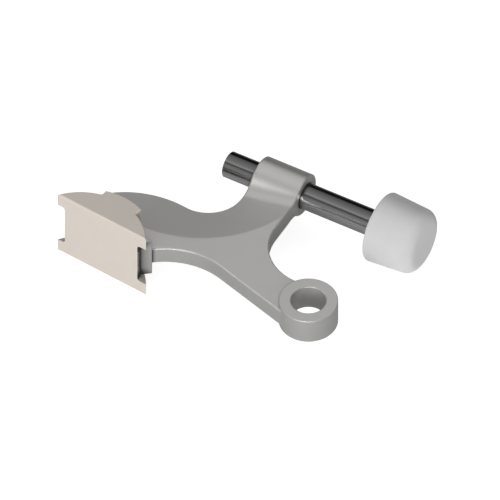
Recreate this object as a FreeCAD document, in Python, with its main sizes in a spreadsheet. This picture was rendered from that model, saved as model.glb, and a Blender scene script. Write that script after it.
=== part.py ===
"""Hinge pin door stop: a cast arm with a push-on pad, and an adjusting rod with a soft tip.

The origin is on the axis of the hinge pin's bore, at half the height of the arm. +X runs along the
adjusting rod towards its tip, +Y from the hinge pin to the rod, and +Z up along the hinge pin.
The part is the same above and below the XY plane, so that it fits a door of either hand.
"""
import FreeCAD
import Part
import math
import os
import Sketcher
from enum import IntEnum
from FreeCAD import Vector

# Driving dimensions, in millimetres and degrees
SIZES = {
    # Eye that drops over the hinge pin
    "eye_bore": 8.25,
    "eye_diameter": 13.85,
    "eye_height": 6.9,
    "eye_fillet": 3.0,
    "eye_chamfer": 0.12,
    # Plate of the arm
    "arm_thickness": 4.75,
    "edge_break": 0.25,
    "inner_radius": 12.3,
    "inner_overlap": 1.02,
    "front_radius": 18.0,
    "front_angle": 16.8,
    "front_overlap": 0.42,
    "fillet_overlap": 0.08,
    "rear_radius": 8.42,
    "palm_radius": 18.8,
    # Neck and the boss that carries the rod
    "neck_offset": 18.35,
    "neck_length": 9.12,
    "rod_offset": 31.3,
    "boss_length": 12.15,
    "boss_diameter": 10.4,
    "boss_fillet": 4.0,
    "bore_chamfer": 0.15,
    # Conical bevel on both faces of the plate, set off from the centre of the rear fillet
    "bevel_shift_x": 6.4,
    "bevel_shift_y": 8.32,
    "bevel_radius": 28.2,
    "bevel_reach": 16.0,
    "bevel_angle": 7.5,
    "crease_round": 3.0,
    # Head: the dovetail flange at the end of the palm
    "head_x": 51.47,
    "head_y": 1.7,
    "head_angle": 5.9,
    "flange_width": 24.2,
    "flange_depth": 2.45,
    "flange_height": 10.9,
    "flange_flare": 45.0,
    "flange_corner": 0.25,
    "flange_round": 0.3,
    "flange_break": 0.15,
    "palm_inset": 1.24,
    "arch_inset": 0.55,
    # Pad that caps the flange
    "pad_width": 25.0,
    "pad_height": 18.9,
    "pad_bulge": 6.5,
    "pad_fit": 0.05,
    "pad_slot_gap": 0.4,
    "pad_break": 0.22,
    "web_thickness": 1.17,
    "web_notch": 2.23,
    "web_shift": 0.27,
    "notch_radius": 0.8,
    "hook_width": 10.0,
    "hook_length": 4.53,
    "hook_radius": 15.0,
    "hook_gap": 0.9,
    "hook_shift": 0.9,
    # Adjusting rod
    "rod_diameter": 6.35,
    "rod_clearance": 0.04,
    "rod_tail": 8.4,
    "rod_chamfer": 0.2,
    # Soft tip pushed on the rod
    "tip_gap": 19.6,
    "tip_diameter": 17.1,
    "tip_length": 12.1,
    "tip_taper": 3.5,
    "tip_base_round": 0.7,
    "tip_end_round": 2.8,
    "tip_socket": 8.0,
    "socket_clearance": 0.03,
    "socket_end_gap": 0.05,
}
SHEET = "sizes"
UP = Vector(0, 0, 1)
ON_EDGE = 0.001
# Faces of the pad, in the head's own frame
PAD_FRONT = "-1 * ( flange_depth + pad_fit + web_thickness )"
WEB_REAR = "-1 * ( flange_depth + pad_fit )"
HOOK_REAR = "( pad_fit + hook_length )"
HOOK_LEFT = "( hook_shift - hook_width / 2 )"
HOOK_RIGHT = "( hook_shift + hook_width / 2 )"


class Spot(IntEnum):
    """Points of a line or arc in a sketch."""

    START = 1
    END = 2
    CENTRE = 3


class Axis(IntEnum):
    """A sketch's own axes."""

    HORIZONTAL = -1
    VERTICAL = -2


START, END, CENTRE = Spot
ORIGIN = (Axis.HORIZONTAL, START)


def make_sheet(doc):
    """Write the driving dimensions to the document's spreadsheet."""
    sheet = doc.addObject("Spreadsheet::Sheet", SHEET)
    for row, (name, value) in enumerate(SIZES.items(), 1):
        sheet.set(f"A{row}", name)
        sheet.set(f"B{row}", str(value))
        sheet.setAlias(f"B{row}", name)
    doc.recompute()


def cells(expression):
    """Spell the names of dimensions in an expression as cells of the sheet."""
    words = expression.replace("(", "( ").replace(")", " )").split()
    return " ".join(f"{SHEET}.{word}" if word in SIZES else word for word in words)


def bind(item, path, expression):
    """Drive a property from the sheet."""
    item.setExpression(path, cells(expression))


def value(item, expression):
    """Work an expression out from the sheet."""
    return float(item.evalExpression(cells(expression)))


def heading(degrees):
    """Unit vector in the XY plane at an angle from +X."""
    angle = math.radians(degrees)
    return Vector(math.cos(angle), math.sin(angle), 0)


def origin_plane(body, role):
    """Find one of a body's own origin planes."""
    return next(plane for plane in body.Origin.OriginFeatures if plane.Role == role)


def new_body(doc, label):
    """Start a sub-part."""
    body = doc.addObject("PartDesign::Body", label)
    body.Label = label
    return body


def new_sketch(body, name, role, **shift):
    """Start a sketch on an origin plane, moved in the sketch's own axes."""
    sketch = body.newObject("Sketcher::SketchObject", name)
    sketch.AttachmentSupport = [(origin_plane(body, role), "")]
    sketch.MapMode = "FlatFace"
    for axis, expression in shift.items():
        bind(sketch, f"AttachmentOffset.Base.{axis}", expression)
    return sketch


def rule(sketch, kind, *where):
    """Add a geometric constraint."""
    sketch.addConstraint(Sketcher.Constraint(kind, *where))


def dimension(sketch, name, kind, where, expression):
    """Add a dimension that the sheet drives."""
    size = value(sketch, expression)
    source = cells(expression)
    if kind == "Angle":
        size = math.radians(size)
        source = f"({source}) * 1 deg"
    index = sketch.addConstraint(Sketcher.Constraint(kind, *where, size))
    sketch.renameConstraint(index, name)
    sketch.setExpression(f"Constraints.{name}", source)


def place(sketch, name, point, x=None, y=None):
    """Set a point's distances from the sketch's origin, or set it on an axis where one is 0."""
    for axis, expression, line in (("X", x, Axis.VERTICAL), ("Y", y, Axis.HORIZONTAL)):
        if expression is None:
            continue
        if expression == "0":
            rule(sketch, "PointOnObject", *point, line)
        elif value(sketch, expression) < 0:
            dimension(sketch, name + axis, "Distance" + axis, (*point, *ORIGIN), f"-1 * ( {expression} )")
        else:
            dimension(sketch, name + axis, "Distance" + axis, (*ORIGIN, *point), expression)


def add_line(sketch, start, end, guide=False):
    """Draw a line, or a construction line."""
    return sketch.addGeometry(Part.LineSegment(start, end), guide)


def add_arc(sketch, centre, start, end):
    """Draw an arc anticlockwise from start to end."""
    first = math.atan2(start.y - centre.y, start.x - centre.x)
    last = math.atan2(end.y - centre.y, end.x - centre.x)
    if last < first:
        last += 2 * math.pi
    circle = Part.Circle(centre, UP, (start - centre).Length)
    return sketch.addGeometry(Part.ArcOfCircle(circle, first, last), False)


def add_circle(sketch, name, diameter):
    """Draw a circle about the sketch's origin."""
    circle = sketch.addGeometry(Part.Circle(Vector(), UP, value(sketch, diameter) / 2), False)
    rule(sketch, "Coincident", circle, CENTRE, *ORIGIN)
    dimension(sketch, name, "Diameter", (circle,), diameter)


def corner_arc(before, corner, after, radius):
    """Centre and two tangent points of the arc that rounds a corner."""
    back = (before - corner).normalize()
    ahead = (after - corner).normalize()
    half = back.getAngle(ahead) / 2
    centre = corner + (back + ahead).normalize() * (radius / math.sin(half))
    return centre, corner + back * (radius / math.tan(half)), corner + ahead * (radius / math.tan(half))


def add_polygon(sketch, name, *corners):
    """Draw a closed polygon from expressions: x and y of each corner, and a radius if it is rounded."""
    points = [Vector(value(sketch, x), value(sketch, y), 0) for x, y, *_ in corners]
    count = len(points)
    bends = []
    for i, (_, _, *radius) in enumerate(corners):
        size = value(sketch, radius[0]) if radius else 0
        bends.append(corner_arc(points[i - 1], points[i], points[(i + 1) % count], size))
    sides = [add_line(sketch, bends[i - 1][2], bends[i][1]) for i in range(count)]
    for i, (x, y, *radius) in enumerate(corners):
        before, after = sides[i], sides[(i + 1) % count]
        if not radius:
            rule(sketch, "Coincident", before, END, after, START)
            place(sketch, f"{name}{i}", (before, END), x, y)
            continue
        centre, first, last = bends[i]
        turn = (points[i] - points[i - 1]).cross(points[(i + 1) % count] - points[i]).z
        ends = (START, END) if turn > 0 else (END, START)
        arc = add_arc(sketch, centre, first, last) if turn > 0 else add_arc(sketch, centre, last, first)
        tip = sketch.addGeometry(Part.Point(points[i]), True)
        rule(sketch, "Tangent", before, END, arc, ends[0])
        rule(sketch, "Tangent", after, START, arc, ends[1])
        rule(sketch, "PointOnObject", tip, START, before)
        rule(sketch, "PointOnObject", tip, START, after)
        place(sketch, f"{name}{i}", (tip, START), x, y)
        dimension(sketch, f"{name}{i}R", "Radius", (arc,), *radius)


def add_feature(body, kind, name, sketch, **settings):
    """Add a sketch based feature: expressions are bound, other settings are assigned."""
    feature = body.newObject(f"PartDesign::{kind}", name)
    feature.Profile = sketch
    for key, setting in settings.items():
        if key in ("Length", "Angle"):
            bind(feature, key, setting)
        else:
            setattr(feature, key, setting)
    body.Document.recompute()
    return feature


def middle(edge):
    """Point at the middle of an edge."""
    return edge.valueAt((edge.FirstParameter + edge.LastParameter) / 2)


def dress(body, kind, name, base, radius, chosen):
    """Round or chamfer the edges of a feature that a test picks by their middle point."""
    edges = base.Shape.Edges
    names = [f"Edge{i}" for i, edge in enumerate(edges, 1) if chosen(edge, middle(edge))]
    if not names:
        raise RuntimeError(f"{name}: no edge found")
    feature = body.newObject(f"PartDesign::{kind}", name)
    feature.Base = (base, names)
    bind(feature, "Radius" if kind == "Fillet" else "Size", radius)
    body.Document.recompute()
    return feature


def centre_on_line(base, direction, target, radius):
    """Point of a line that lies a radius from a target: the further one along the direction."""
    offset = base - target
    along = offset.dot(direction)
    root = math.sqrt(along ** 2 - offset.dot(offset) + radius ** 2)
    return base + direction * (root - along)


def arc_centre(end, radius, neighbour, distance):
    """Point a radius from one point and a distance from another, to the right of the line between them."""
    line = neighbour - end
    along = (radius ** 2 - distance ** 2 + line.Length ** 2) / (2 * line.Length)
    line.normalize()
    return end + line * along + Vector(line.y, -line.x, 0) * math.sqrt(radius ** 2 - along ** 2)


def plate_points(sketch):
    """Corners, tangent points and arc centres of the arm's outline."""
    size = {name: value(sketch, name) for name in SIZES}
    eye = size["eye_diameter"] / 2
    right = -size["neck_offset"]
    left = right - size["boss_length"]
    point = {}

    # Inner edge: an arc from the neck that dips into the eye
    inner_reach = eye - size["inner_overlap"]
    inner_x = right + size["inner_radius"]
    inner_y = math.sqrt((size["inner_radius"] + inner_reach) ** 2 - inner_x ** 2)
    point["inner_centre"] = Vector(inner_x, inner_y, 0)
    point["inner_end"] = point["inner_centre"] * (inner_reach / point["inner_centre"].Length)
    point["neck_right_root"] = Vector(right, inner_y, 0)
    point["neck_right_top"] = Vector(right, size["rod_offset"], 0)
    point["neck_left_top"] = Vector(left, size["rod_offset"], 0)

    # Rear edge: the neck's fillet turns into the round of the palm
    point["rear_centre"] = Vector(left - size["rear_radius"], size["rod_offset"] - size["neck_length"], 0)
    point["neck_left_root"] = point["rear_centre"] + Vector(size["rear_radius"], 0, 0)
    point["head"] = Vector(-size["head_x"], -size["head_y"], 0)
    across = heading(-size["head_angle"])
    point["head_left"] = point["head"] - across * (size["flange_width"] / 2)
    point["head_right"] = point["head"] + across * (size["flange_width"] / 2)
    point["head_inside"] = point["head"] + heading(-90 - size["head_angle"]) * (size["flange_depth"] / 2)
    point["palm_end"] = point["head_left"] + across * size["palm_inset"]
    point["arch_end"] = point["head_right"] - across * size["arch_inset"]
    point["palm_centre"] = arc_centre(
        point["palm_end"], size["palm_radius"],
        point["rear_centre"], size["palm_radius"] + size["rear_radius"])
    to_palm = (point["palm_centre"] - point["rear_centre"]).normalize()
    point["waist"] = point["rear_centre"] + to_palm * size["rear_radius"]

    # Front edge: an arch from the flange, a straight limb and a fillet into the eye
    forward = heading(-size["front_angle"])
    out = heading(-size["front_angle"] - 90)
    front_reach = eye - size["front_overlap"]
    arch_line = out * (front_reach + size["front_radius"])
    point["front_centre"] = centre_on_line(arch_line, forward, point["arch_end"], size["front_radius"])
    point["front_left"] = point["front_centre"] - out * size["front_radius"]
    point["front_foot"] = out * front_reach
    fillet_reach = eye - size["fillet_overlap"]
    fillet_line = out * (front_reach + size["eye_fillet"])
    point["fillet_centre"] = centre_on_line(
        fillet_line, forward * -1, Vector(), fillet_reach + size["eye_fillet"])
    point["front_right"] = point["fillet_centre"] - out * size["eye_fillet"]
    point["fillet_end"] = point["fillet_centre"] * (fillet_reach / point["fillet_centre"].Length)
    return point


def draw_plate(body):
    """Sketch the arm's Y-shaped outline."""
    sketch = new_sketch(body, "plate_outline", "XY_Plane")
    point = plate_points(sketch)

    def line(start, end, guide=False):
        return add_line(sketch, point[start], point[end], guide)

    def arc(centre, start, end):
        return add_arc(sketch, point[centre], point[start], point[end])

    inner = arc("inner_centre", "neck_right_root", "inner_end")
    neck_right = line("neck_right_root", "neck_right_top")
    neck_top = line("neck_right_top", "neck_left_top")
    neck_left = line("neck_left_top", "neck_left_root")
    rear = arc("rear_centre", "waist", "neck_left_root")
    palm = arc("palm_centre", "waist", "palm_end")
    close_left = line("palm_end", "head_inside")
    close_right = line("head_inside", "arch_end")
    arch = arc("front_centre", "front_left", "arch_end")
    front = line("front_left", "front_right")
    fillet = arc("fillet_centre", "fillet_end", "front_right")
    eye_end = line("fillet_end", "inner_end")

    rule(sketch, "Tangent", inner, START, neck_right, START)
    rule(sketch, "Coincident", neck_right, END, neck_top, START)
    rule(sketch, "Coincident", neck_top, END, neck_left, START)
    rule(sketch, "Tangent", neck_left, END, rear, END)
    rule(sketch, "Tangent", rear, START, palm, START)
    rule(sketch, "Coincident", palm, END, close_left, START)
    rule(sketch, "Coincident", close_left, END, close_right, START)
    rule(sketch, "Coincident", close_right, END, arch, END)
    rule(sketch, "Tangent", arch, START, front, START)
    rule(sketch, "Tangent", front, END, fillet, END)
    rule(sketch, "Coincident", fillet, START, eye_end, START)
    rule(sketch, "Coincident", eye_end, END, inner, END)
    rule(sketch, "Vertical", neck_right)
    rule(sketch, "Horizontal", neck_top)
    rule(sketch, "Vertical", neck_left)

    # Construction lines that tie the outline to the eye and to the head
    inner_spoke = sketch.addGeometry(Part.LineSegment(Vector(), point["inner_centre"]), True)
    fillet_spoke = sketch.addGeometry(Part.LineSegment(Vector(), point["fillet_centre"]), True)
    foot = sketch.addGeometry(Part.LineSegment(Vector(), point["front_foot"]), True)
    chord = line("head_left", "head_right", True)
    sink = line("head", "head_inside", True)
    for spoke, curve, end in ((inner_spoke, inner, END), (fillet_spoke, fillet, START)):
        rule(sketch, "Coincident", spoke, START, *ORIGIN)
        rule(sketch, "Coincident", spoke, END, curve, CENTRE)
        rule(sketch, "PointOnObject", curve, end, spoke)
    rule(sketch, "Coincident", foot, START, *ORIGIN)
    rule(sketch, "PointOnObject", foot, END, front)
    rule(sketch, "Perpendicular", foot, front)
    rule(sketch, "PointOnObject", palm, END, chord)
    rule(sketch, "PointOnObject", arch, END, chord)
    rule(sketch, "Symmetric", chord, START, chord, END, sink, START)
    rule(sketch, "Perpendicular", sink, chord)
    rule(sketch, "Coincident", sink, END, close_left, END)

    place(sketch, "neck", (neck_right, END), "-1 * neck_offset", "rod_offset")
    place(sketch, "head", (sink, START), "-1 * head_x", "-1 * head_y")
    place(sketch, "rear_centre", (rear, CENTRE), y="rod_offset - neck_length")
    dimension(sketch, "neck_width", "DistanceX", (neck_top, END, neck_top, START), "boss_length")
    dimension(sketch, "inner_reach", "Distance", (*ORIGIN, inner, END), "eye_diameter / 2 - inner_overlap")
    dimension(sketch, "fillet_reach", "Distance", (*ORIGIN, fillet, START),
              "eye_diameter / 2 - fillet_overlap")
    dimension(sketch, "front_reach", "Distance", (foot,), "eye_diameter / 2 - front_overlap")
    dimension(sketch, "front_angle", "Angle", (front,), "-1 * front_angle")
    dimension(sketch, "head_angle", "Angle", (chord,), "-1 * head_angle")
    dimension(sketch, "head_width", "Distance", (chord,), "flange_width")
    dimension(sketch, "palm_inset", "Distance", (chord, START, palm, END), "palm_inset")
    dimension(sketch, "arch_inset", "Distance", (arch, END, chord, END), "arch_inset")
    dimension(sketch, "sink", "Distance", (sink,), "flange_depth / 2")
    for name, curve in (("inner_radius", inner), ("rear_radius", rear), ("palm_radius", palm),
                        ("front_radius", arch), ("eye_fillet", fillet)):
        dimension(sketch, name, "Radius", (curve,), name)
    return sketch


def cut_bevels(body):
    """Thin both faces of the plate by a shallow cone, about an axis behind the rear fillet."""
    sketch = new_sketch(
        body, "bevel_profile", "XZ_Plane",
        x="-1 * ( neck_offset + boss_length + rear_radius + bevel_shift_x )",
        z="-1 * ( rod_offset - neck_length + bevel_shift_y )")
    near = "bevel_radius - bevel_reach"
    add_polygon(
        sketch, "bevel",
        ("bevel_radius", "arm_thickness / 2"),
        ("bevel_radius", "arm_thickness"),
        (near, "arm_thickness"),
        (near, "arm_thickness / 2 - bevel_reach * tan( bevel_angle )"))
    bevel = add_feature(body, "Groove", "bevel", sketch, ReferenceAxis=(sketch, ["V_Axis"]), Angle="360")
    mirror = body.newObject("PartDesign::Mirrored", "bevel_below")
    mirror.Originals = [bevel]
    mirror.MirrorPlane = (origin_plane(body, "XY_Plane"), [""])
    body.Tip = mirror
    body.Document.recompute()
    return mirror


def add_boss(body):
    """Add the rod's boss across the neck, and blend it into both faces of the plate."""
    sketch = new_sketch(body, "boss_profile", "YZ_Plane",
                        x="rod_offset", z="-1 * ( neck_offset + boss_length )")
    add_circle(sketch, "boss_diameter", "boss_diameter")
    boss = add_feature(body, "Pad", "boss", sketch, Length="boss_length")
    axis_y = value(sketch, "rod_offset")
    radius = value(sketch, "boss_diameter / 2")
    middle_x = value(sketch, "-1 * ( neck_offset + boss_length / 2 )")

    def meets_plate(edge, at):
        on_boss = abs(math.hypot(at.y - axis_y, at.z) - radius) < ON_EDGE
        return on_boss and at.y < axis_y and abs(at.x - middle_x) < radius / 2

    return dress(body, "Fillet", "boss_blend", boss, "boss_fillet", meets_plate)


def soften_crease(body, base):
    """Round the crease between the flat and the bevel of both faces."""
    radius = value(base, "bevel_radius")
    face = value(base, "arm_thickness / 2")

    def on_crease(edge, at):
        round_edge = isinstance(edge.Curve, Part.Circle) and abs(edge.Curve.Radius - radius) < ON_EDGE
        return round_edge and abs(abs(at.z) - face) < ON_EDGE

    return dress(body, "Fillet", "crease_rounds", base, "crease_round", on_crease)


def is_wall(face):
    """Tell if a face stands upright on the plate."""
    if isinstance(face.Surface, Part.Plane):
        return abs(face.Surface.Axis.z) < ON_EDGE
    return isinstance(face.Surface, Part.Cylinder) and abs(face.Surface.Axis.z) > 1 - ON_EDGE


def break_outline(body, base):
    """Break the plate's edges and the rims of the boss, but not the lines inside the eye and flange."""
    bore = value(base, "eye_bore / 2")
    head = Vector(value(base, "-1 * head_x"), value(base, "-1 * head_y"), 0)
    rearward = heading(90 - value(base, "head_angle"))

    def on_outline(edge, at):
        walls = [is_wall(face) for face in base.Shape.ancestorsOfType(edge, Part.Face)]
        in_eye = math.hypot(at.x, at.y) < bore
        in_flange = (at - head).dot(rearward) < -ON_EDGE
        return sum(walls) == 1 and not in_eye and not in_flange

    return dress(body, "Chamfer", "edge_breaks", base, "edge_break", on_outline)


def add_flange(body):
    """Add the dovetail flange across the end of the palm."""
    sketch = new_sketch(body, "flange_profile", "XY_Plane", x="-1 * head_x", y="-1 * head_y")
    bind(sketch, "AttachmentOffset.Rotation.Angle", "-1 * head_angle")
    rear = "flange_width / 2"
    front = "( flange_width / 2 - flange_depth * tan( flange_flare ) )"
    add_polygon(
        sketch, "flange",
        (rear, "0", "flange_corner"),
        (f"-1 * {rear}", "0", "flange_corner"),
        (f"-1 * {front}", "-1 * flange_depth", "flange_round"),
        (front, "-1 * flange_depth", "flange_round"))
    flange = add_feature(body, "Pad", "flange", sketch, Length="flange_height", SideType="Symmetric")
    top = value(sketch, "flange_height / 2")
    boss_left = value(sketch, "-1 * ( neck_offset + boss_length )")

    def on_rim(edge, at):
        return abs(abs(at.z) - top) < ON_EDGE and at.x < boss_left

    return dress(body, "Chamfer", "flange_breaks", flange, "flange_break", on_rim)


def add_eye(body):
    """Add the ring round the hinge pin, bore it and break its rims."""
    sketch = new_sketch(body, "eye_profile", "XY_Plane")
    add_circle(sketch, "eye_diameter", "eye_diameter")
    add_feature(body, "Pad", "eye", sketch, Length="eye_height", SideType="Symmetric")
    sketch = new_sketch(body, "eye_bore_profile", "XY_Plane")
    add_circle(sketch, "eye_bore", "eye_bore")
    bore = add_feature(body, "Pocket", "hinge_pin_bore", sketch, Type="ThroughAll", SideType="Symmetric")
    rim = value(sketch, "eye_diameter / 2")
    top = value(sketch, "eye_height / 2")

    def on_rim(edge, at):
        return abs(abs(at.z) - top) < ON_EDGE and math.hypot(at.x, at.y) < rim + ON_EDGE

    return dress(body, "Chamfer", "eye_rims", bore, "eye_chamfer", on_rim)


def bore_boss(body):
    """Bore the boss for the rod and chamfer both mouths."""
    sketch = new_sketch(body, "rod_bore_profile", "YZ_Plane",
                        x="rod_offset", z="-1 * ( neck_offset + boss_length )")
    add_circle(sketch, "rod_bore", "rod_diameter + 2 * rod_clearance")
    bore = add_feature(body, "Pocket", "rod_bore", sketch, Type="ThroughAll", Reversed=True)
    axis_y = value(sketch, "rod_offset")
    radius = value(sketch, "rod_diameter / 2 + rod_clearance")
    half = value(sketch, "boss_length / 2")
    middle_x = value(sketch, "-1 * ( neck_offset + boss_length / 2 )")

    def on_mouth(edge, at):
        on_bore = abs(math.hypot(at.y - axis_y, at.z) - radius) < ON_EDGE
        return on_bore and abs(abs(at.x - middle_x) - half) < ON_EDGE

    return dress(body, "Chamfer", "rod_bore_mouths", bore, "bore_chamfer", on_mouth)


def build_arm(doc):
    """Cast arm: a plate with bevelled faces, the rod's boss, the dovetail flange and the eye."""
    body = new_body(doc, "arm")
    add_feature(body, "Pad", "plate", draw_plate(body), Length="arm_thickness", SideType="Symmetric")
    cut_bevels(body)
    break_outline(body, soften_crease(body, add_boss(body)))
    add_flange(body)
    add_eye(body)
    bore_boss(body)
    return body


def draw_pad(body):
    """Sketch the pad's outline from above: a flat front and a round back."""
    sketch = new_sketch(body, "cap_outline", "XY_Plane")
    half = value(sketch, "pad_width / 2")
    bulge = value(sketch, "pad_bulge")
    front = value(sketch, PAD_FRONT)
    radius = (half ** 2 + bulge ** 2) / (2 * bulge)
    left, right = Vector(-half, front, 0), Vector(half, front, 0)
    chord = add_line(sketch, left, right)
    back = add_arc(sketch, Vector(0, front + bulge - radius, 0), right, left)
    rule(sketch, "Coincident", chord, END, back, START)
    rule(sketch, "Coincident", chord, START, back, END)
    place(sketch, "left", (chord, START), "-1 * pad_width / 2", PAD_FRONT)
    place(sketch, "right", (chord, END), "pad_width / 2", PAD_FRONT)
    dimension(sketch, "back_radius", "Radius", (back,),
              "( pad_width * pad_width / 4 + pad_bulge * pad_bulge ) / ( 2 * pad_bulge )")
    return sketch


def draw_hooks(body):
    """Sketch the hooks' outline from above: two straight sides and a round back."""
    sketch = new_sketch(body, "hook_outline", "XY_Plane")
    middle_x = value(sketch, "hook_shift")
    half = value(sketch, "hook_width / 2")
    front = value(sketch, WEB_REAR)
    radius = value(sketch, "hook_radius")
    centre = Vector(middle_x, value(sketch, HOOK_REAR) - radius, 0)
    side = centre.y + math.sqrt(radius ** 2 - half ** 2)
    left_front, right_front = Vector(middle_x - half, front, 0), Vector(middle_x + half, front, 0)
    left_back, right_back = Vector(middle_x - half, side, 0), Vector(middle_x + half, side, 0)
    chord = add_line(sketch, left_front, right_front)
    right = add_line(sketch, right_front, right_back)
    back = add_arc(sketch, centre, right_back, left_back)
    left = add_line(sketch, left_back, left_front)
    for before, after in ((chord, right), (right, back), (back, left), (left, chord)):
        rule(sketch, "Coincident", before, END, after, START)
    rule(sketch, "Vertical", right)
    rule(sketch, "Vertical", left)
    place(sketch, "left", (chord, START), HOOK_LEFT, WEB_REAR)
    place(sketch, "right", (chord, END), HOOK_RIGHT, WEB_REAR)
    place(sketch, "back", (back, CENTRE), "hook_shift", f"{HOOK_REAR} - hook_radius")
    dimension(sketch, "hook_radius", "Radius", (back,), "hook_radius")
    return sketch


def build_pad(doc):
    """Moulded pad: a front web between two caps, with hooks that snap behind the flange."""
    body = new_body(doc, "pad")
    bind(body, "Placement.Base.x", "-1 * head_x")
    bind(body, "Placement.Base.y", "-1 * head_y")
    bind(body, "Placement.Rotation.Angle", "-1 * head_angle")
    slot = "( flange_height / 2 + pad_slot_gap )"
    throat = "( arm_thickness / 2 + hook_gap )"
    web_left = "( web_notch - web_shift - pad_width / 2 )"
    web_right = "( pad_width / 2 - web_notch - web_shift )"
    sides = (("right", "pad_width", HOOK_RIGHT, web_right), ("left", "-1 * pad_width", HOOK_LEFT, web_left))

    add_feature(body, "Pad", "caps", draw_pad(body), Length="pad_height", SideType="Symmetric")
    add_feature(body, "Pad", "hooks", draw_hooks(body), Length="pad_height", SideType="Symmetric")

    # Slot for the flange, and the throat that the palm passes through
    sketch = new_sketch(body, "slot_profile", "YZ_Plane")
    add_polygon(
        sketch, "slot",
        (WEB_REAR, f"-1 * {slot}"), ("pad_fit", f"-1 * {slot}"),
        ("pad_fit", f"-1 * {throat}"), ("pad_width", f"-1 * {throat}"),
        ("pad_width", throat), ("pad_fit", throat),
        ("pad_fit", slot), (WEB_REAR, slot))
    add_feature(body, "Pocket", "slot", sketch, Type="ThroughAll", SideType="Symmetric")

    # Space behind the web on both sides of the hooks
    sketch = new_sketch(body, "side_profile", "XZ_Plane", z="flange_depth + pad_fit")
    for name, outside, hook, _ in sides:
        add_polygon(
            sketch, name,
            (hook, f"-1 * {slot}"), (outside, f"-1 * {slot}"), (outside, slot), (hook, slot))
    add_feature(body, "Pocket", "sides", sketch, Type="ThroughAll")

    # Notches that leave the web narrower than the caps
    sketch = new_sketch(body, "notch_profile", "XZ_Plane", z="pad_width")
    for name, outside, _, web in sides:
        add_polygon(
            sketch, name,
            (web, f"-1 * {slot}", "notch_radius"), (outside, f"-1 * {slot}"),
            (outside, slot), (web, slot, "notch_radius"))
    notches = add_feature(body, "Pocket", "notches", sketch, Type="ThroughAll")

    top = value(sketch, "pad_height / 2")
    dress(body, "Chamfer", "cap_breaks", notches, "pad_break",
          lambda edge, at: abs(abs(at.z) - top) < ON_EDGE)
    return body


def build_rod(doc):
    """Adjusting rod: a round bar that slides through the boss."""
    body = new_body(doc, "adjusting_rod")
    sketch = new_sketch(body, "rod_profile", "YZ_Plane",
                        x="rod_offset", z="-1 * ( neck_offset + boss_length + rod_tail )")
    add_circle(sketch, "rod_diameter", "rod_diameter")
    rod = add_feature(body, "Pad", "rod", sketch,
                      Length="rod_tail + boss_length + tip_gap + tip_socket - socket_end_gap")
    dress(body, "Chamfer", "rod_ends", rod, "rod_chamfer",
          lambda edge, at: isinstance(edge.Curve, Part.Circle))
    return body


def build_tip(doc):
    """Soft tip: a tapered bumper with a blind socket for the rod's end."""
    body = new_body(doc, "bumper_tip")
    sketch = new_sketch(body, "tip_profile", "XZ_Plane", x="tip_gap - neck_offset", z="-1 * rod_offset")
    socket = "rod_diameter / 2 + socket_clearance"
    add_polygon(
        sketch, "tip",
        ("0", socket),
        ("0", "tip_diameter / 2", "tip_base_round"),
        ("tip_length", "tip_diameter / 2 - tip_length * tan( tip_taper )", "tip_end_round"),
        ("tip_length", "0"),
        ("tip_socket", "0"),
        ("tip_socket", socket))
    add_feature(body, "Revolution", "tip", sketch, ReferenceAxis=(sketch, ["H_Axis"]), Angle="360")
    return body


def main():
    """Build the document, check it and write each sub-part."""
    doc = FreeCAD.newDocument("hinge_pin_door_stop")
    make_sheet(doc)
    bodies = [build_arm(doc), build_pad(doc), build_rod(doc), build_tip(doc)]
    doc.recompute()
    failed = [item.Label for item in doc.Objects if {"Invalid", "Error"} & set(item.State)]
    failed += [body.Label for body in bodies if body.Shape.isNull() or not body.Shape.isValid()]
    if failed:
        raise RuntimeError("not built: " + ", ".join(failed))
    os.makedirs("parts", exist_ok=True)
    for body in bodies:
        body.Shape.exportStep(f"parts/{body.Label}.step")
        print(body.Label, round(body.Shape.Volume, 1), body.Shape.BoundBox)


main()
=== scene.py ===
"""Looks of the hinge pin door stop: satin nickel arm, moulded pad, polished rod, rubber tip."""
import math

import bpy
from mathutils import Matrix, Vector


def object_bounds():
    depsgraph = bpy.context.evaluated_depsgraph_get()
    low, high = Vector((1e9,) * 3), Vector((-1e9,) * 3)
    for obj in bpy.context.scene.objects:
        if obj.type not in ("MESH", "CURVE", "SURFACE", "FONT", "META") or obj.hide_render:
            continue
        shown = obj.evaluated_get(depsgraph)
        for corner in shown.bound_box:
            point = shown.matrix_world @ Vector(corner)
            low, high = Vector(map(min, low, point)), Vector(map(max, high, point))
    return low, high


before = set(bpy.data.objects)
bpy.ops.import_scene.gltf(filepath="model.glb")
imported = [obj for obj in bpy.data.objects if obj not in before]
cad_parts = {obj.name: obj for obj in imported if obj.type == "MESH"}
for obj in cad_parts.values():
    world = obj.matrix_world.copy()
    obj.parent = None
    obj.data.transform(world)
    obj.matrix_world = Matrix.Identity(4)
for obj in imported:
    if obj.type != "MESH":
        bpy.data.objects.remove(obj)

CAD_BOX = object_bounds()

# Camera: degrees and metres; the photograph has no perspective
VIEW_AZIMUTH = 29.3
VIEW_ELEVATION = 47.0
VIEW_TARGET = Vector((-0.02111, 0.00997, 0.00002))
VIEW_WIDTH = 0.11585
VIEW_DISTANCE = 0.6

# Lamps: azimuth from the camera, elevation, width, height and level
LAMP_DISTANCE = 0.9
LAMPS = {
    "key": (-12, 15, 0.9, 0.46, 1.06),
    "overhead": (180, 72, 1.3, 1.3, 0.48),
    "fill": (75, 22, 0.6, 0.6, 0.13),
    "side": (-55, 25, 0.7, 0.7, 0.05),
    "edge": (-88, 24, 0.35, 0.35, 0.12),
}

# Floor: its side, and its glow as the camera sees it and as metal mirrors it
FLOOR_SIZE = 6.0
FLOOR_GLOW = 0.86
FLOOR_MIRRORED = 0.06

# Room: the upward part of a direction, from where it is low to where it is high
ROOM_RISE = (0.2, 0.9)

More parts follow.
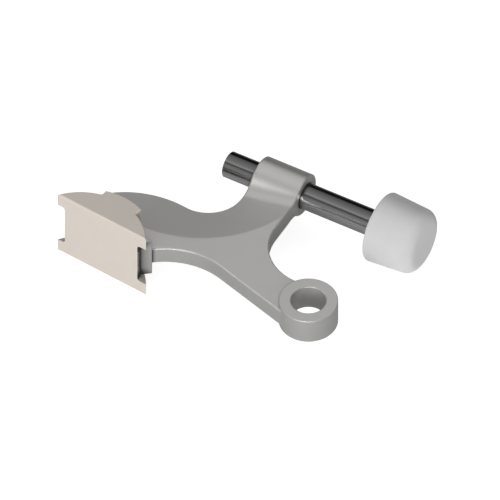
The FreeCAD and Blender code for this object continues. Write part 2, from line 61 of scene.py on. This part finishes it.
# Colours as linear values
WHITE = (1, 1, 1, 1)
FLOOR_GREY = (0.45, 0.45, 0.45, 1)
ROOM_LOW = (0.02, 0.02, 0.02, 1)
ROOM_HIGH = (0.14, 0.14, 0.14, 1)
NICKEL = (0.57, 0.565, 0.55, 1)
NICKEL_DULL = (0.54, 0.535, 0.52, 1)
NICKEL_WORN = (0.63, 0.625, 0.61, 1)
PAD = (0.645, 0.59, 0.53, 1)
PAD_DULL = (0.615, 0.56, 0.50, 1)
# Painted highlight along the pad's edges
PAD_EDGE_HIGHLIGHT = (0.85, 0.80, 0.73, 1)
# Bar: the colour of its painted reflection, and its shaded colour elsewhere and in its painted
# nook shade
STEEL_REFLECTION = (0.80, 0.80, 0.80, 1)
STEEL_SHADED = (0.07, 0.07, 0.071, 1)
RUBBER = (0.64, 0.64, 0.64, 1)
RUBBER_DULL = (0.61, 0.61, 0.61, 1)
SHADE = (0.02, 0.018, 0.016, 1)

# Sizes of surface detail, in metres
FINE_GRAIN = 0.0002
SATIN_GRAIN = 2 * FINE_GRAIN
RUBBER_GRAIN = 1.5 * FINE_GRAIN
DRAWN_LINE = 3 * FINE_GRAIN
CLOUD = 0.006
PAD_MOTTLE = CLOUD / 2
RUBBER_MOTTLE = CLOUD / 3
WEAR_PATCH = CLOUD / 4
# Width of the edge band: rounded normals, wear on the arm, painted highlight on the pad
EDGE_BAND = 0.0003
# Reach of the painted shade in nooks
NOOK_SHADE_REACH = 0.003

# Roughness between two limits, and depth of the relief in metres
NICKEL_ROUGHNESS = (0.38, 0.46)
NICKEL_EDGE_ROUGHNESS = 0.65
NICKEL_RELIEF = 6e-6
PAD_ROUGHNESS = (0.55, 0.7)
PAD_RELIEF = 8e-6
STEEL_ROUGHNESS = (0.10, 0.2)
STEEL_RELIEF = 1e-6
RUBBER_ROUGHNESS = (0.6, 0.75)
RUBBER_RELIEF = 6e-6

# Noise: the range that its values mostly keep to, and its octaves
NOISE_RANGE = (0.3, 0.7)
NOISE_DETAIL = 2.0
LINE_DETAIL = 3.0
LINE_RELIEF_DETAIL = 1.0

# Edge band, worn on the arm and a painted highlight on the pad: cosine between the face and its
# rounded normal, where the band begins and is full
EDGE_COSINE = (0.98, 0.80)

# Painted shade in nooks: openness at which a spot is wholly shaded and at which it is clear
NICKEL_NOOK_SHADE = (0.8, 1.0)
PAD_NOOK_SHADE = (0.95, 1.0)
STEEL_NOOK_SHADE = (0.5, 0.8)

# The arm is clear of painted nook shade past its head along X, and where its faces don't look
# forward
HEAD_END = (-0.0399, -0.0392)
LOOKS_FORWARD = (-0.8, -0.4)
# The pad is clear of painted nook shade past the lips of its slot, in height from the middle
LIP = (0.0054, 0.0061)

# Bar: its axis, and two flanks with a painted reflection, each by its angle up from the front
# in degrees, and the cosines of the turn away from there at which it fades out and is full
ROD_AXIS_Y = 0.0313
FRONT_REFLECTION = (-20.0, -0.9, 0.9)
REAR_REFLECTION = (230.0, 0.3, 0.9)
FRONT_REFLECTION_FALL_OFF = 2.6
REAR_REFLECTION_SHARE = 0.5
LENGTHWISE = (80, 1, 1)
LINE_TONES = (0.75, 1.0)

# Sockets of a Mix node that is set to colours
MIX_INPUTS = (0, 6, 7)
MIX_OUTPUT = 2


def direction(azimuth, elevation):
    """Unit vector from the object towards a point at that azimuth and elevation."""
    turn, rise = math.radians(azimuth), math.radians(elevation)
    level = math.cos(rise)
    return Vector((math.sin(turn) * level, -math.cos(turn) * level, math.sin(rise)))


def place(name, data, azimuth, elevation, distance):
    """Add a camera or lamp that looks at the target from a direction."""
    item = bpy.data.objects.new(name, data)
    bpy.context.collection.objects.link(item)
    back = direction(azimuth, elevation)
    item.location = VIEW_TARGET + back * distance
    item.rotation_euler = back.to_track_quat("Z", "Y").to_euler()
    return item


def add_camera():
    """Orthographic camera at the photograph's angle."""
    data = bpy.data.cameras.new("camera")
    data.type = "ORTHO"
    data.ortho_scale = VIEW_WIDTH
    camera = place("camera", data, VIEW_AZIMUTH, VIEW_ELEVATION, VIEW_DISTANCE)
    bpy.context.scene.camera = camera


def add_lamps():
    """Soft lamps; level 1 lights a white face that looks at the lamp to white."""
    for name, (azimuth, elevation, width, height, level) in LAMPS.items():
        data = bpy.data.lights.new(name, "AREA")
        data.shape = "RECTANGLE"
        data.size, data.size_y = width, height
        data.energy = level * (math.pi * LAMP_DISTANCE) ** 2
        place(name, data, VIEW_AZIMUTH + azimuth, elevation, LAMP_DISTANCE)


def feed(tree, socket, setting):
    """Link an input to another node's output, or give it a constant."""
    if isinstance(setting, bpy.types.NodeSocket):
        tree.links.new(setting, socket)
    else:
        socket.default_value = setting


def node(tree, kind, *in_order, **by_name):
    """Add a shader node and feed its inputs, in order or by name."""
    item = tree.nodes.new("ShaderNode" + kind)
    for socket, setting in zip(item.inputs, in_order):
        feed(tree, socket, setting)
    for name, setting in by_name.items():
        feed(tree, item.inputs[name.replace("_", " ")], setting)
    return item


def maths(tree, operation, *numbers):
    """Combine numbers."""
    item = node(tree, "Math", *numbers)
    item.operation = operation
    return item.outputs[0]


def blend(tree, factor, low, high):
    """Mix two colours."""
    item = node(tree, "Mix")
    item.data_type = "RGBA"
    for index, setting in zip(MIX_INPUTS, (factor, low, high)):
        feed(tree, item.inputs[index], setting)
    return item.outputs[MIX_OUTPUT]


def spread(tree, source, low, high, to_low=0.0, to_high=1.0):
    """Map a range of one number to another, clamped at both ends."""
    item = node(tree, "MapRange", Value=source, From_Min=low, From_Max=high,
                To_Min=to_low, To_Max=to_high)
    return item.outputs["Result"]


def noise(tree, size, detail=NOISE_DETAIL, stretch=(1, 1, 1)):
    """Noise in the object's own space: feature size in metres, and stretch along each axis."""
    coordinate = node(tree, "TexCoord").outputs["Object"]
    scale = [1 / (size * factor) for factor in stretch]
    scaled = node(tree, "Mapping", Vector=coordinate, Scale=scale).outputs[0]
    return node(tree, "TexNoise", Vector=scaled, Scale=1.0, Detail=detail).outputs["Fac"]


def uneven(tree, size, limits, **options):
    """A number that noise moves between two limits."""
    return spread(tree, noise(tree, size, **options), *NOISE_RANGE, *limits)


def along(tree, source, axis):
    """One axis of a texture coordinate."""
    coordinate = node(tree, "TexCoord").outputs[source]
    return node(tree, "SeparateXYZ", Vector=coordinate).outputs[axis]


def rounded_normal(tree):
    """The face's normal, rounded over edges."""
    return node(tree, "Bevel", Radius=EDGE_BAND).outputs["Normal"]


def wear_and_highlight_edges(tree):
    """1 on outward and inward edges, 0 on faces: wear on the arm, painted highlight on the pad.
    """
    flat = node(tree, "NewGeometry").outputs["Normal"]
    item = node(tree, "VectorMath", rounded_normal(tree), flat)
    item.operation = "DOT_PRODUCT"
    return spread(tree, item.outputs["Value"], *EDGE_COSINE)


def painted_shade_mask(tree, limits, *elsewhere):
    """Mask for painted shade: 0 in nooks, 1 on open faces and elsewhere."""
    openness = node(tree, "AmbientOcclusion", Distance=NOOK_SHADE_REACH).outputs["AO"]
    clear = spread(tree, openness, *limits)
    for region in elsewhere:
        clear = maths(tree, "MAXIMUM", clear, region)
    return clear


def new_material(name, colour, roughness, height, depth, normal=None, **settings):
    """Principled material; functions build its colour, roughness, relief and normal."""
    material = bpy.data.materials.new(name)
    material.use_nodes = True
    tree = material.node_tree
    shader = tree.nodes["Principled BSDF"]
    relief = node(tree, "Bump", Height=height(tree), Strength=1.0, Distance=depth)
    if normal:
        feed(tree, relief.inputs["Normal"], normal(tree))
    feed(tree, shader.inputs["Base Color"], colour(tree))
    feed(tree, shader.inputs["Roughness"], roughness(tree))
    feed(tree, shader.inputs["Normal"], relief.outputs[0])
    for key, setting in settings.items():
        feed(tree, shader.inputs[key.replace("_", " ")], setting)
    return material


def satin_nickel():
    """Satin nickel plate: fine grain, slightly cloudy, rubbed on edges, painted shade in one
    nook.
    """
    def colour(tree):
        cloud = blend(tree, noise(tree, CLOUD), NICKEL_DULL, NICKEL)
        rubbed = maths(tree, "MULTIPLY", wear_and_highlight_edges(tree), noise(tree, WEAR_PATCH))
        not_forward = spread(tree, along(tree, "Normal", "Y"), *LOOKS_FORWARD)
        past_head = spread(tree, along(tree, "Object", "X"), *HEAD_END)
        # Painted shade in the nook by the pad, on faces that look forward
        clear = painted_shade_mask(tree, NICKEL_NOOK_SHADE, not_forward, past_head)
        return blend(tree, clear, SHADE, blend(tree, rubbed, cloud, NICKEL_WORN))

    def roughness(tree):
        satin = uneven(tree, SATIN_GRAIN, NICKEL_ROUGHNESS)
        rubbed = maths(tree, "MULTIPLY", wear_and_highlight_edges(tree), NICKEL_EDGE_ROUGHNESS)
        return maths(tree, "MAXIMUM", satin, rubbed)

    def grain(tree):
        return noise(tree, FINE_GRAIN)

    return new_material("satin_nickel", colour, roughness, grain, NICKEL_RELIEF, rounded_normal,
                        Metallic=0.7, Specular_IOR_Level=0.3)


def pad_plastic():
    """Moulded plastic: eroded grain, faintly mottled, painted highlight on edges, painted shade
    in its slot.
    """
    def colour(tree):
        mottle = blend(tree, noise(tree, PAD_MOTTLE), PAD_DULL, PAD)
        height = maths(tree, "ABSOLUTE", along(tree, "Object", "Z"))
        # Painted shade in the pad's slot, and a painted highlight on its edges
        clear = painted_shade_mask(tree, PAD_NOOK_SHADE, spread(tree, height, *LIP))
        return blend(tree, clear, SHADE, blend(tree, wear_and_highlight_edges(tree), mottle, PAD_EDGE_HIGHLIGHT))

    def roughness(tree):
        return uneven(tree, SATIN_GRAIN, PAD_ROUGHNESS)

    def grain(tree):
        return noise(tree, FINE_GRAIN)

    return new_material("pad_plastic", colour, roughness, grain, PAD_RELIEF, rounded_normal)


def polished_steel():
    """Drawn and polished bar: dark, with two flanks of painted reflection, painted shade in
    nooks, and faint lines along its length.
    """
    # A band of painted reflection round the bar's axis
    def reflection_flank(tree, turn, angle, low, high):
        away = maths(tree, "SUBTRACT", turn, math.radians(angle))
        return spread(tree, maths(tree, "COSINE", away), low, high)

    def colour(tree):
        forward = maths(tree, "SUBTRACT", ROD_AXIS_Y, along(tree, "Object", "Y"))
        turn = maths(tree, "ARCTAN2", along(tree, "Object", "Z"), forward)
        # Painted reflection: two bright flanks by their angle round the axis
        front = maths(tree, "POWER", reflection_flank(tree, turn, *FRONT_REFLECTION), FRONT_REFLECTION_FALL_OFF)
        rear = maths(tree, "MULTIPLY", reflection_flank(tree, turn, *REAR_REFLECTION), REAR_REFLECTION_SHARE)
        band = maths(tree, "MAXIMUM", front, rear)
        lines = uneven(tree, DRAWN_LINE, LINE_TONES, detail=LINE_DETAIL, stretch=LENGTHWISE)
        lined = maths(tree, "MULTIPLY", band, lines)
        # Painted shade in nooks, such as where the bar enters the boss
        bright = maths(tree, "MULTIPLY", lined, painted_shade_mask(tree, STEEL_NOOK_SHADE))
        return blend(tree, bright, STEEL_SHADED, STEEL_REFLECTION)

    def roughness(tree):
        return uneven(tree, SATIN_GRAIN, STEEL_ROUGHNESS, stretch=LENGTHWISE)

    def lines(tree):
        return noise(tree, FINE_GRAIN, LINE_RELIEF_DETAIL, LENGTHWISE)

    return new_material("polished_steel", colour, roughness, lines, STEEL_RELIEF, Metallic=1.0)


def white_rubber():
    """Moulded white rubber: matt, with a soft grain, and lit a little way in."""
    def colour(tree):
        return blend(tree, noise(tree, RUBBER_MOTTLE), RUBBER_DULL, RUBBER)

    def roughness(tree):
        return uneven(tree, SATIN_GRAIN, RUBBER_ROUGHNESS)

    def grain(tree):
        return noise(tree, RUBBER_GRAIN)

    return new_material("white_rubber", colour, roughness, grain, RUBBER_RELIEF,
                        Subsurface_Weight=0.2, Subsurface_Scale=0.003,
                        Subsurface_Radius=(1, 1, 1), Sheen_Weight=0.15, Sheen_Roughness=0.5,
                        Diffuse_Roughness=1.0)


def add_floor():
    """Pale floor: glows white to the camera, and keeps the part's shadow."""
    low, half = CAD_BOX[0][2], FLOOR_SIZE / 2
    mesh = bpy.data.meshes.new("floor")
    corners = [(-half, -half, low), (half, -half, low), (half, half, low), (-half, half, low)]
    mesh.from_pydata(corners, [], [(0, 1, 2, 3)])
    floor = bpy.data.objects.new("floor", mesh)
    bpy.context.collection.objects.link(floor)
    material = bpy.data.materials.new("floor")
    material.use_nodes = True
    tree = material.node_tree
    tree.nodes.clear()
    rays = node(tree, "LightPath").outputs
    seen = maths(tree, "MAXIMUM", rays["Is Camera Ray"], rays["Is Transmission Ray"])
    seen = maths(tree, "MULTIPLY", seen, FLOOR_GLOW)
    mirrored = maths(tree, "MULTIPLY", rays["Is Glossy Ray"], FLOOR_MIRRORED)
    glow = node(tree, "Emission", Color=WHITE, Strength=maths(tree, "ADD", seen, mirrored))
    matt = node(tree, "BsdfDiffuse", Color=FLOOR_GREY)
    both = node(tree, "AddShader", matt.outputs[0], glow.outputs[0])
    node(tree, "OutputMaterial", Surface=both.outputs[0])
    mesh.materials.append(material)


def add_world():
    """Dim room, lighter overhead, that the camera sees as white."""
    world = bpy.data.worlds.new("studio")
    bpy.context.scene.world = world
    world.use_nodes = True
    tree = world.node_tree
    tree.nodes.clear()
    rise = spread(tree, along(tree, "Generated", "Z"), *ROOM_RISE)
    dim = blend(tree, rise, ROOM_LOW, ROOM_HIGH)
    room = node(tree, "Background", Color=dim, Strength=1.0)
    white = node(tree, "Background", Color=WHITE, Strength=1.0)
    seen = node(tree, "LightPath").outputs["Is Camera Ray"]
    both = node(tree, "MixShader", seen, room.outputs[0], white.outputs[0])
    node(tree, "OutputWorld", Surface=both.outputs[0])


def dress(name, material):
    """Give a CAD node its material."""
    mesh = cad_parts[name].data
    mesh.materials.clear()
    mesh.materials.append(material)


add_camera()
add_world()
add_floor()
add_lamps()
dress("arm", satin_nickel())
dress("pad", pad_plastic())
dress("adjusting_rod", polished_steel())
dress("bumper_tip", white_rubber())

bpy.context.scene.view_settings.view_transform = "Standard"
